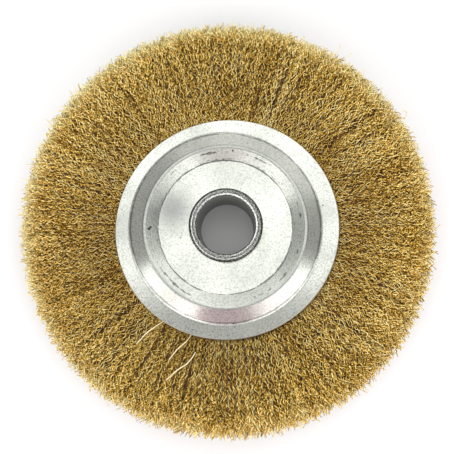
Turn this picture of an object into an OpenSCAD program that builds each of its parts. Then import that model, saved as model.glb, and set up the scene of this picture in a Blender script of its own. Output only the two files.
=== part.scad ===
// Crimped wire wheel brush: crimped wires folded over a steel ring and clamped
// between two pressed plates, which a steel tube with rolled ends holds together.
// Sizes in mm. The bore axis is Z and the middle of the wheel's width is z = 0.

/* [Wheel] */
// Diameter over the longest wires
wheel_d = 150; // [120:1:200]
// Width of the brush at its widest, just inside the rim
face_w = 24.8; // [20:0.2:32]
// How much further in the wires of the two faces end than those in the middle
crown = 7.5; // [4:0.5:10]

/* [Hub tube] */
// Diameter of the bore
bore_d = 20; // [12:0.5:25]
// Wall of the tube
tube_wall = 1.5; // [1:0.1:2]
// How far a rolled end stands out past the face of the wires
hub_proud = 0.6; // [0.2:0.1:2]
// Height of a rolled end above the plate
roll_h = 2.6; // [1.6:0.1:3]
// Overhang of a rolled end past the tube's outside
roll_over = 1.2; // [0.8:0.1:2]
// Width of the bell mouth at each end of the bore
mouth = 0.65; // [0.3:0.05:1]

/* [Plates] */
// Diameter of a plate
plate_d = 78; // [65:0.1:94]
// Thickness of the sheet
sheet = 1; // [0.8:0.1:1.4]
// Width of the flat lip at the edge
lip_w = 5.7; // [4.5:0.1:7]
// Width of the raised bead's outer slope
slope_out = 5.5; // [4.5:0.1:7]
// Width of the raised bead's inner slope
slope_in = 4.4; // [3.6:0.1:5.4]
// Height at which the bead's two slopes would meet, above the flat middle
bead_h = 2.2; // [1.6:0.1:2.7]
// Drop from the flat middle to the start of the lip
lip_drop = 1.2; // [0.8:0.1:2]
// Further drop of the lip to its edge
lip_fall = 0.6; // [0.2:0.1:1.2]

/* [Wires] */
// Diameter of the retaining ring's wire
ring_wire_d = 4; // [3:0.1:5]
// Gap where the ring's ends meet
ring_gap = 0.8; // [0.4:0.1:2]
// Thickness of the fold of wires on the inner side of the ring
fold_w = 2.2; // [1.6:0.1:2.6]
// Number of bundles that the wires are gathered into
bundles = 112; // [80:2:120]
// Gap between neighbouring bundles
bundle_gap = 0.32; // [0.2:0.02:0.5]
// Length of one crimp, crest to crest
crimp_pitch = 5.4; // [5:0.2:8]
// Height of a crimp to each side
crimp_h = 0.55; // [0.3:0.05:0.8]
// How much shorter than the longest the shortest bundle is
tip_scatter = 1.1; // [0:0.1:2]
// Depth of the hollows between the tips at the rim
tip_notch = 0.9; // [0.2:0.1:1.5]
// Extra gap at each place where the bundles have parted
parting_w = 0.9; // [0:0.1:1.2]

/* [Fits] */
// Clearance between the tube and a plate's hole
tube_fit = 0.05; // [0.02:0.01:0.1]
// Clearance between the wires and what they are clamped by
wire_fit = 0.08; // [0.05:0.01:0.15]

/* [Hidden] */
$fn = 96;

// Steps in each rounded bend
bend_steps = 8;
// Outer radii of the bends where the bead rises, at its crest and at the lip
foot_bend = 0.9;
crest_bend = sheet + 0.3;
lip_bend = 0.8;
// Rounding of a cut edge of the sheet
edge_round = 0.25;
// Rounding of a rolled end above and beneath its overhang
roll_top = 1;
roll_under = 0.4;
// Steps in which the rounded rim goes from its middle to a face, every second one a hollow
rim_steps = 4;
// How far the fold's shoulder stays in from its nose and from the plate
fold_ease = 0.5;
// Steps in which the bundles' lengths differ
tip_grades = 4;
// How far an outline that is only cut away from runs past the shape
spare = 1;

bore_r = bore_d / 2;
tube_r = bore_r + tube_wall;
half_face = face_w / 2;
hub_z = half_face + hub_proud;
flat_z = hub_z - roll_h;
lip_z = flat_z - lip_drop;
plate_r = plate_d / 2;
lip_r = plate_r - lip_w;
bead_r = lip_r - slope_out;
flat_r = bead_r - slope_in;

// The ring lies under the bead's crest, with the fold of wires around it
ring_r = bead_r;
ring_hole_r = ring_wire_d / 2 + wire_fit;
fold_r = ring_r - ring_hole_r - fold_w;

wheel_r = wheel_d / 2;
bundle_turn = 360 / bundles;
// Half the width that a bundle has at a distance of 1 from the axis, before its gap
bundle_slope = tan(bundle_turn / 2);
half_pitch = crimp_pitch / 2;
// Directions in which the bundles have parted, seen from the front
partings = [38, 69, 220, 239, 256];

// Plane geometry
function unit(v) = v / norm(v);
function left_of(v) = [-v[1], v[0]];
function turned(v, a) = [v[0] * cos(a) - v[1] * sin(a), v[0] * sin(a) + v[1] * cos(a)];
function turn_at(a, b, c) =
    let (u = unit(b - a), w = unit(c - b))
    atan2(u[0] * w[1] - u[1] * w[0], u * w);

// A rounded corner at b as [point, normal] pairs, for a line that runs a, b, c
function bend(a, b, c, radius) =
    let (
        u = unit(b - a),
        turn = turn_at(a, b, c),
        side = sign(turn),
        start = b - u * radius * tan(abs(turn) / 2),
        centre = start + side * radius * left_of(u)
    )
    [for (k = [0 : bend_steps])
        let (normal = turned(left_of(u), turn * k / bend_steps))
        [centre - side * radius * normal, normal]];

// A quarter circle in bend_steps from angle a
function quarter(centre, radius, a, step = 90) =
    [for (k = [0 : bend_steps])
        let (b = a + step * k / bend_steps)
        centre + radius * [cos(b), sin(b)]];

// Corners of the plate's outer face, from the hole to the cut edge
plate_hole = [tube_r + tube_fit, flat_z];
plate_foot = [flat_r, flat_z];
plate_crest = [bead_r, flat_z + bead_h];
plate_lip = [lip_r, lip_z];
plate_edge = [plate_r, lip_z - lip_fall];

foot_arc = bend(plate_hole, plate_foot, plate_crest, foot_bend);
crest_arc = bend(plate_foot, plate_crest, plate_lip, crest_bend);
lip_arc = bend(plate_crest, plate_lip, plate_edge, lip_bend);
out_along_lip = unit(plate_edge - plate_lip);
up_from_lip = left_of(out_along_lip);

// The plate's outer face from the hole to the edge, as [point, normal] pairs
plate_line = concat(
    [[plate_hole, [0, 1]]],
    foot_arc,
    crest_arc,
    lip_arc,
    [[plate_edge - edge_round * out_along_lip, up_from_lip]]
);

// The point that lies a distance beneath one of those pairs, square to the face
function beneath(pair, distance) = pair[0] - distance * pair[1];

// Section of the sheet: the outer face out, the cut edge, and the inner face back
module plate_section() {
    edge = [plate_edge, up_from_lip];
    polygon(concat(
        [for (pair = plate_line) pair[0]],
        [beneath(edge, edge_round), beneath(edge, sheet)],
        [for (k = [len(plate_line) - 2 : -1 : 0]) beneath(plate_line[k], sheet)]
    ));
}

module pressed_plate() {
    rotate_extrude()
        plate_section();
}

module front_plate() {
    color("#d9dde0")
        pressed_plate();
}

module rear_plate() {
    color("#cfd3d6")
        mirror([0, 0, 1])
            pressed_plate();
}

// A half outline above the middle, followed by its mirror image below
function both_halves(half) =
    concat(half, [for (k = [len(half) - 1 : -1 : 0]) [half[k][0], -half[k][1]]]);

// The tube's section above the middle, from the bore over the rolled end to the outside
function tube_half() =
    let (roll_r = tube_r + roll_over)
    concat(
        quarter([bore_r + mouth, hub_z - mouth], mouth, 180, -90),
        quarter([roll_r - roll_top, hub_z - roll_top], roll_top, 90, -90),
        quarter([roll_r - roll_under, flat_z + roll_under], roll_under, 0, -90),
        [[tube_r, flat_z]]
    );

module hub_tube() {
    color("#8f9499")
        rotate_extrude()
            polygon(both_halves(tube_half()));
}

// A ring of round wire whose ends meet at a butt joint
module retaining_ring() {
    open = 360 * ring_gap / (2 * PI * ring_r);
    color("#6f7376")
        rotate(open / 2)
            rotate_extrude(angle = 360 - open)
                translate([ring_r, 0])
                    circle(d = ring_wire_d);
}

// A number from 0 to 1 that differs from bundle to bundle
function scatter(i) = (1 + sin(i * 137.5) * cos(i * 57.3)) / 2;
function tip_r(i) = wheel_r - tip_scatter * round(scatter(i) * tip_grades) / tip_grades;

// How far a direction is from the nearest parting, in bundles
function from_parting(i) =
    min([for (p = partings) abs(((i * bundle_turn - p + 540) % 360) - 180)]) / bundle_turn;
// How much of its width at the rim a bundle beside a parting gives up
function gives(i) = from_parting(i) < 0.5 ? parting_w : 0;

// A tip of the rounded rim, at a share from 0, the middle of the width, to 1, a face
function tip_at(tip, share, notch) = [tip - crown * share * share - notch, half_face * share];

// Side view of a bundle above the middle: the fold, the clamped length, the fan, the tips
function bundle_half(i) =
    let (
        under = sheet + wire_fit,
        fold_top = flat_z - under - fold_ease
    )
    concat(
        [
            [fold_r, fold_top / 3],
            [fold_r + fold_ease, fold_top],
            beneath(crest_arc[0], under),
            beneath(crest_arc[bend_steps], under),
            beneath(lip_arc[bend_steps / 2], under),
            beneath([plate_edge, up_from_lip], under)
        ],
        [for (k = [rim_steps : -1 : 0])
            tip_at(tip_r(i), k / rim_steps, k % 2 == 1 ? tip_notch : 0)]
    );

module bundle_side(i) {
    difference() {
        polygon(both_halves(bundle_half(i)));
        translate([ring_r, 0])
            circle(r = ring_hole_r);
    }
}

// Middle line of a bundle in plan: straight between the plates, then crimped past the tip
crimps = floor((wheel_r - lip_r) / half_pitch) + 1;
crimp_line = concat(
    [[fold_r - spare, 0], [lip_r, 0]],
    [for (k = [1 : crimps]) [lip_r + k * half_pitch, crimp_h * (k % 2 == 1 ? 1 : -1)]]
);

module bundle_plan(i) {
    slack = bundle_gap / 2;
    taper = gives(i) / (wheel_r - lip_r);
    polygon(concat(
        [for (p = crimp_line) p + [0, p[0] * bundle_slope - slack]],
        [for (k = [len(crimp_line) - 1 : -1 : 0])
            let (p = crimp_line[k])
            p - [0, p[0] * bundle_slope - slack - taper * max(0, p[0] - lip_r)]]
    ));
}

module bundle(i) {
    intersection() {
        linear_extrude(height = face_w + 2 * spare, center = true)
            bundle_plan(i);
        rotate([90, 0, 0])
            linear_extrude(height = wheel_d * bundle_slope + 4 * crimp_h, center = true)
                bundle_side(i);
    }
}

module wire_bundles() {
    color("#b8923c")
        for (i = [0 : bundles - 1])
            rotate(i * bundle_turn)
                bundle(i);
}

hub_tube();
front_plate();
rear_plate();
retaining_ring();
wire_bundles();
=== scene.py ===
"""Looks of a crimped wire wheel brush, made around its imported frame.

The file is laid out as an add-on: sizes and colours sit in property groups, each group
of like pieces has its own operator, and a panel in the sidebar lists them. Run as a
script it makes everything in order. Lengths are metres, angles are radians, the wheel's
axis is Z and the middle of its width is z = 0.
"""

import math

import bpy
import numpy as np
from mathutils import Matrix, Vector


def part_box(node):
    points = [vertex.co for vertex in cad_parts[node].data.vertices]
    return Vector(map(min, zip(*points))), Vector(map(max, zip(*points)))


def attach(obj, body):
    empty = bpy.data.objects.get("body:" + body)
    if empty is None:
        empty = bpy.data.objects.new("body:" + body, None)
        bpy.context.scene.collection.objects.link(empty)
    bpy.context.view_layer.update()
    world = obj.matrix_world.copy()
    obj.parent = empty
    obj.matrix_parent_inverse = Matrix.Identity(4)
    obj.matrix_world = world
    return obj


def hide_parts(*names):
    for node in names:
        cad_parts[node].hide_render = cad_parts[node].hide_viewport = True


bl_info = {
    "name": "Wire Wheel Brush",
    "version": (1, 0, 0),
    "blender": (4, 5, 0),
    "location": "3D View > Sidebar > Wire Wheel",
    "description": "Makes the wires, plates, hub and studio of a crimped wire wheel brush",
    "category": "Add Mesh",
}

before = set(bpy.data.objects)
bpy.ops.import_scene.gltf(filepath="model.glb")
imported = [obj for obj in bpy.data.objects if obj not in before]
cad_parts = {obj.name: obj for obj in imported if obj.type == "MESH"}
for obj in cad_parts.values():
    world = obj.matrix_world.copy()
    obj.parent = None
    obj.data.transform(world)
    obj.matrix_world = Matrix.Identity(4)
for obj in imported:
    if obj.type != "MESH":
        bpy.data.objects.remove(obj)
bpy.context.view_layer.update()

MM = 0.001
MATH = "ShaderNodeMath"
BODY = "root"

# Corners of the CAD nodes that the looks are fitted to
wires_low, wires_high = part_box("wire_bundles")
plate_low, plate_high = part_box("front_plate")
tube_low, tube_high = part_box("hub_tube")


def linear(code):
    """The sRGB colour of a hex code as linear red, green and blue with an alpha of 1."""
    shares = [int(code[k : k + 2], 16) / 255 for k in (0, 2, 4)]
    return [s / 12.92 if s <= 0.04045 else ((s + 0.055) / 1.055) ** 2.4 for s in shares] + [1.0]


def length(label, description, default):
    """A length that a user may change."""
    return bpy.props.FloatProperty(
        name=label, description=description, default=default, unit="LENGTH", precision=5
    )


def angle(label, description, degrees):
    """An angle that a user may change."""
    return bpy.props.FloatProperty(
        name=label, description=description, default=math.radians(degrees), unit="ROTATION"
    )


def number(label, description, default):
    """A plain number that a user may change."""
    return bpy.props.FloatProperty(name=label, description=description, default=default)


def colour(label, description, code):
    """A colour that a user may change, from its sRGB hex code."""
    return bpy.props.FloatVectorProperty(
        name=label, description=description, default=linear(code), size=4, subtype="COLOR", min=0, max=1
    )


class WireSizes(bpy.types.PropertyGroup):
    """Sizes of the crimped wires and of the brush that they form"""

    wheel_radius: length("Wheel radius", "From the axis to the longest tips", 76.0 * MM)
    crown: length("Crown", "How much further in the wires of the two faces end", 7.5 * MM)
    face_height: length("Face height", "Half of the width at its widest", wires_high.z - 0.4 * MM)
    widest_radius: length("Widest radius", "Where the brush is at its widest", 67.5 * MM)
    flange_radius: length("Flange radius", "Where the wires leave the plates", plate_high.x)
    flange_height: length("Flange height", "Half of the clamped width there", plate_low.z - 0.3 * MM)
    wire_diameter: length("Wire", "Diameter of a wire with its brass coat", 0.33 * MM)
    crimp_height: length("Crimp height", "Height of a crimp to each side", 0.8 * MM)
    crimp_step: length("Crimp step", "Length from one bend of the crimp to the next", 1.9 * MM)
    tip_scatter: length("Tip scatter", "How much shorter than its neighbours a wire may be", 4.0 * MM)
    run_out: length("Run-out", "How much further the wires stand out on the longer side", 1.0 * MM)
    parting_width: length("Parting width", "Sideways push on the wires beside a parting", 0.7 * MM)


class PlateSizes(bpy.types.PropertyGroup):
    """Sizes of the two pressed plates"""

    hole_radius: length("Hole radius", "Hole for the tube", 11.55 * MM)
    foot_radius: length("Foot radius", "Where the raised bead starts", 23.15 * MM)
    crest_radius: length("Crest radius", "Crest of the bead", 27.8 * MM)
    lip_radius: length("Lip radius", "Where the lip starts", plate_high.x - 5.7 * MM)
    edge_radius: length("Edge radius", "Cut edge of the plate", plate_high.x)
    flat_height: length("Flat height", "Outer face of the flat middle", tube_high.z - 2.6 * MM)
    bead_height: length("Bead height", "Where the bead's slopes would meet, above the flat", 2.2 * MM)
    lip_drop: length("Lip drop", "From the flat down to the start of the lip", 1.2 * MM)
    lip_fall: length("Lip fall", "Further drop of the lip to its edge", 0.6 * MM)
    sheet: length("Sheet", "Thickness of the sheet", 1.0 * MM)
    waviness: length("Waviness", "How far the pressed sheet is out of true", 0.02 * MM)
    press_offset: length("Press offset", "How far the bead was pressed off centre", 0.54 * MM)
    press_offset_angle: angle("Press offset angle", "Direction of that, from +X", -112)
    lip_offset: length("Lip offset", "How far the lip's edge was cut off the bead's centre", 0.66 * MM)
    lip_offset_angle: angle("Lip offset angle", "Where the lip is wide for that, from +X", -29)
    lip_oval: length("Lip oval", "How far the lip's edge is out of round", 0.52 * MM)
    lip_oval_angle: angle("Lip oval angle", "Where the lip is wide for that, from +X", 24)
    lip_short: length("Lip short", "How much less than its full width the lip has on average", 0.24 * MM)


class HubSizes(bpy.types.PropertyGroup):
    """Sizes of the tube and its rolled ends"""

    bore_radius: length("Bore radius", "Inside of the tube", 10 * MM)
    tube_radius: length("Tube radius", "Outside of the tube between the plates", 11.5 * MM)
    roll_radius: length("Roll radius", "Outside of a rolled end", tube_high.x)
    end_height: length("End height", "Top of a rolled end", tube_high.z)
    roll_height: length("Roll height", "Height of a rolled end above the plate", 2.6 * MM)
    mouth: length("Mouth", "Width of the bell mouth of the bore", 0.65 * MM)
    roll_top: length("Top rounding", "Rounding of the rolled end above", 1.0 * MM)
    roll_under: length("Under rounding", "Rounding of the rolled end beneath", 0.4 * MM)


class FinishColours(bpy.types.PropertyGroup):
    """Colours of the finishes"""

    brass_dark: colour("Dark brass", "Tarnished wires", "704a1c")
    brass_mid: colour("Brass", "Most wires", "f0c555")
    brass_pale: colour("Pale brass", "Wires with a bright or thin coat", "fff1b2")
    loose_wire: colour("Loose wires", "Wires without their coat", "f4ece0")
    brass_shade: colour("Shaded wires", "Wires deep in the brush", "42280f")
    zinc_bright: colour("Bright zinc", "Clean plating", "d2d4cb")
    zinc_dull: colour("Dull zinc", "Cloudy patches of the plating", "c0c3ba")
    # This colour also paints shade on the bead's crest and left of the hub
    zinc_speckle_and_shade: colour("Speckle", "Thin spots of the plating", "7d7f7d")
    zinc_edge: colour("Cut edge", "Edge of the sheet, cut after it was plated", "a39885")
    # This colour also paints shade in the plates' creases, beside the hub and at the rolled end's outer edge
    grime_and_shade: colour("Grime", "Oil and metal dust in the marks of the press", "1d1e1c")
    steel_light: colour("Light steel", "Rubbed high spots of the tube", "9fa09b")
    # This colour paints highlights on the rolled end's two edges
    painted_steel_highlight: colour("Bright steel", "Edges that the roller polished", "f4f4f0")
    steel_dark: colour("Dark steel", "Scale and oil on the tube", "42433f")
    scale: colour("Scale", "Mill scale on the wall of the bore", "8f9388")
    ring_steel: colour("Ring steel", "Drawn wire of the retaining ring", "7d7e80")
    paper: colour("Paper", "Floor of the studio", "f4f4f4")
    room_gap: colour("Room gap", "Dull strip of the room between the two low soft boxes", "c6b0b8")


class StudioSizes(bpy.types.PropertyGroup):
    """Places and levels of the camera and the lamps"""

    camera_x: length("Camera X", "Where the camera stands", 4.9 * MM)
    camera_y: length("Camera Y", "Where the camera stands", -16.5 * MM)
    camera_height: length("Camera height", "Above the middle of the wheel", 205 * MM)
    aim_x: length("Aim X", "Where the camera looks on the front plate", 1.6 * MM)
    aim_y: length("Aim Y", "Where the camera looks on the front plate", -0.5 * MM)
    aim_height: length("Aim height", "Where the camera looks on the front plate", 10 * MM)
    lens: number("Lens", "Focal length in mm on a sensor 36 mm wide", 44.3)
    overhead_level: number("Overhead level", "Brightness of the soft light overhead", 1.37)
    low_level: number("Low level", "Brightness of the two low soft boxes", 1.36)
    room_strength: number("Room strength", "Factor on all the light of the room", 1.33)
    room_level: number("Room level", "Brightness of the darker side of the room", 0.33)
    window_level: number("Window level", "Brightness of the lighter side of the room", 0.8)
    paper_glow: number("Paper glow", "White that the floor keeps in its shadows", 0.02)


def add(tree, kind, links=(), **settings):
    """Adds a node. links gives its inputs, by name or in order: a node, a socket or a value each."""
    node = tree.nodes.new(kind)
    for setting, value in settings.items():
        setattr(node, setting, value)
    sockets = [socket for socket in node.inputs if socket.enabled]
    named = {socket.name: socket for socket in reversed(sockets)}
    pairs = links.items() if isinstance(links, dict) else enumerate(links)
    for key, value in pairs:
        socket = sockets[key] if isinstance(key, int) else named[key]
        if isinstance(value, bpy.types.Node):
            value = next(output for output in value.outputs if output.enabled)
        if isinstance(value, bpy.types.NodeSocket):
            tree.links.new(value, socket)
        else:
            socket.default_value = value
    return node


def new_material(name):
    """An empty node material, and its tree."""
    material = bpy.data.materials.new(name)
    material.use_nodes = True
    material.node_tree.nodes.clear()
    return material, material.node_tree


def new_piece(name, mesh, material=None):
    """An object at the origin that shows the mesh."""
    piece = bpy.data.objects.new(name, mesh)
    bpy.context.scene.collection.objects.link(piece)
    if material:
        mesh.materials.append(material)
    return piece


def keep(piece, node):
    """Hangs a finished piece on the wheel's body and hides the CAD node that it stands for."""
    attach(piece, BODY)
    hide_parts(node)


# Finishes


def around_axis(tree):
    """The place on the piece, its direction round the axis and its distance from the axis."""
    place = add(tree, "ShaderNodeTexCoord").outputs["Object"]
    parts = add(tree, "ShaderNodeSeparateXYZ", [place]).outputs
    turn = add(tree, MATH, [parts["Y"], parts["X"]], operation="ARCTAN2")
    flat = add(tree, "ShaderNodeVectorMath", [place, (1, 1, 0)], operation="MULTIPLY")
    out = add(tree, "ShaderNodeVectorMath", [flat], operation="LENGTH").outputs["Value"]
    return place, turn, out


def brassed_wire(colours):
    """Steel wire with a thin brass coat, drawn bright and crimped between toothed rollers.

    It gives the eye short bright dashes on the straight lengths between bends, in golds that
    differ from wire to wire, paler painted light on the tips at the rim, and a duller, browner gold of painted shade
    and dirt near the plates and of painted shade on the wires that lie deeper.
    """
    material, tree = new_material("Brass-coated crimped steel wire")
    place, turn, out = around_axis(tree)
    tone = add(tree, "ShaderNodeAttribute", attribute_name="tone").outputs["Fac"]
    # Tarnish comes in clouds of about 12 mm, and the coat is patchy every 0.6 mm
    clouds = add(tree, "ShaderNodeTexNoise", {"Vector": place, "Scale": 1 / (12 * MM), "Detail": 2.0})
    patches = add(tree, "ShaderNodeTexNoise", {"Vector": place, "Scale": 1 / (0.6 * MM), "Detail": 1.0})
    own = add(tree, MATH, [tone, 0.45], operation="MULTIPLY")
    uneven = add(tree, MATH, [patches, 2.0, own], operation="MULTIPLY_ADD")
    mixed = add(tree, MATH, [clouds, 0.5, uneven], operation="MULTIPLY_ADD")
    # Painted light: the tips at the rim are paler, most on the upper left
    painted_rim_light = add(
        tree,
        "ShaderNodeMapRange",
        {"Value": out, "From Min": 63 * MM, "From Max": 73 * MM, "To Min": 0.0, "To Max": 0.55},
        interpolation_type="SMOOTHSTEP",
    )
    aimed = add(tree, MATH, [turn, math.radians(130)], operation="SUBTRACT")
    share = add(tree, MATH, [add(tree, MATH, [aimed], operation="COSINE"), 0.4, 0.6], operation="MULTIPLY_ADD")
    with_rim_light = add(tree, MATH, [painted_rim_light, share, mixed], operation="MULTIPLY_ADD")
    fade = add(tree, MATH, [with_rim_light, 1.0], operation="SUBTRACT")
    ramp = add(tree, "ShaderNodeValToRGB", [fade])
    stops = ramp.color_ramp.elements
    stops[0].color = colours.brass_dark
    stops[0].position = 0.1
    stops[1].color = colours.brass_pale
    stops[1].position = 0.85
    middle = stops.new(0.45)
    middle.color = colours.brass_mid
    # Painted shade darkens the wires near the plates, least at the top, and none of it reaches the rim
    to_top = add(tree, MATH, [turn, math.radians(90)], operation="SUBTRACT")
    at_top = add(tree, MATH, [to_top], operation="COSINE")
    most = add(
        tree,
        "ShaderNodeMapRange",
        {"Value": at_top, "From Min": 0.75, "From Max": 1.0, "To Min": 0.29, "To Max": 0.08},
        interpolation_type="SMOOTHSTEP",
    )
    painted_plate_shade = add(
        tree,
        "ShaderNodeMapRange",
        {"Value": out, "From Min": 39 * MM, "From Max": 68 * MM, "To Min": most, "To Max": 0.0},
        interpolation_type="SMOOTHSTEP",
    )
    # Painted shade also darkens the wires that lie deeper, down to about 1.5 mm
    depth = add(tree, "ShaderNodeAttribute", attribute_name="depth").outputs["Fac"]
    deep = add(
        tree,
        "ShaderNodeMapRange",
        {"Value": depth, "From Min": 0.55 * MM, "From Max": 1.6 * MM, "To Min": 0.0, "To Max": 0.94},
    )
    # Dirt and painted shadow where the wires leave the plates, most on the lower right
    past_upper_left = add(tree, MATH, [turn, math.radians(125)], operation="SUBTRACT")
    at_upper_left = add(tree, MATH, [past_upper_left], operation="COSINE")
    worst = add(tree, MATH, [at_upper_left, -0.45, 0.45], operation="MULTIPLY_ADD")
    dirt_and_shadow_at_plates = add(
        tree,
        "ShaderNodeMapRange",
        {"Value": out, "From Min": 39.2 * MM, "From Max": 41.5 * MM, "To Min": worst, "To Max": 0.0},
    )
    # Painted shade and the dirt at the plates take the wires towards their shaded colour
    painted_shade_and_dirt = add(tree, MATH, [add(tree, MATH, [painted_plate_shade, deep], operation="MAXIMUM"), dirt_and_shadow_at_plates], operation="MAXIMUM")
    shaded_and_dirty = add(
        tree,
        "ShaderNodeMix",
        {"Factor": painted_shade_and_dirt, "A": ramp, "B": colours.brass_shade},
        data_type="RGBA",
    )
    surface = add(
        tree,
        "ShaderNodeBsdfPrincipled",
        {"Base Color": shaded_and_dirty, "Metallic": 1.0, "Roughness": 0.22},
    )
    add(tree, "ShaderNodeOutputMaterial", [surface])
    return material


def shaded_wires(colours):
    """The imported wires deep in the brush, seen only through the gaps between the outer ones.

    They read as a dark brown mass with fine streaks that run outwards, and at the rim as
    golden cut ends packed side by side.
    """
    material, tree = new_material("Shaded wires deep in the brush")
    place, turn, out = around_axis(tree)
    height = add(tree, "ShaderNodeSeparateXYZ", [place]).outputs["Z"]
    # Streaks are about 0.5 mm apart round the wheel and 4 mm long
    streak_place = add(
        tree,
        "ShaderNodeCombineXYZ",
        [
            add(tree, MATH, [turn, 110.0], operation="MULTIPLY"),
            add(tree, MATH, [out, 1 / (4 * MM)], operation="MULTIPLY"),
            add(tree, MATH, [height, 1 / (0.8 * MM)], operation="MULTIPLY"),
        ],
    )
    streaks = add(tree, "ShaderNodeTexNoise", {"Vector": streak_place, "Scale": 1.0, "Detail": 3.0})
    ramp = add(tree, "ShaderNodeValToRGB", [streaks])
    stops = ramp.color_ramp.elements
    stops[0].color = linear("140b02")
    stops[0].position = 0.35
    stops[1].color = colours.brass_dark
    stops[1].position = 0.72
    # Cut ends are about 0.6 mm apart
    cells = add(tree, "ShaderNodeTexVoronoi", {"Vector": place, "Scale": 1 / (0.6 * MM)}).outputs["Distance"]
    ends = add(tree, "ShaderNodeMapRange", {"Value": cells, "From Min": 0.5, "From Max": 0.25})
    at_rim = add(tree, "ShaderNodeMapRange", {"Value": out, "From Min": 66 * MM, "From Max": 69 * MM})
    tipped = add(
        tree,
        "ShaderNodeMix",
        {
            "Factor": add(tree, MATH, [ends, at_rim], operation="MULTIPLY"),
            "A": ramp,
            "B": colours.brass_mid,
        },
        data_type="RGBA",
    )
    bump = add(tree, "ShaderNodeBump", {"Strength": 0.8, "Distance": 0.4 * MM, "Height": streaks})
    surface = add(
        tree,
        "ShaderNodeBsdfPrincipled",
        {"Base Color": tipped, "Metallic": 0.6, "Roughness": 0.6, "Normal": bump},
    )
    add(tree, "ShaderNodeOutputMaterial", [surface])
    return material


# Dark spots on the front plate: place from the axis and radius, in mm
SPOTS = [
    (-26.3, -1.2, 0.55),
    (-25.8, -0.6, 0.4),
    (2.6, -33.6, 0.3),
    (3.0, -34.6, 0.25),
    (33.6, 7.1, 0.3),
    (2.4, 25.8, 0.35),
    (-15.6, -4.2, 0.22),
]

# Dirt round the plates, and painted shade in their creases and beside the hub: radius and half width in mm, how much of
# it shows, and its strength
DIRT_AND_CREASE_SHADE_RINGS = [
    (26.0, 0.7, -0.03, 0.75),
    (32.9, 0.6, 0.27, 0.5),
    (23.15, 0.45, 0.3, 0.7),
    (23.75, 0.4, -0.06, 0.7),
    (12.9, 0.35, 0.1, 0.5),
]


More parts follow.
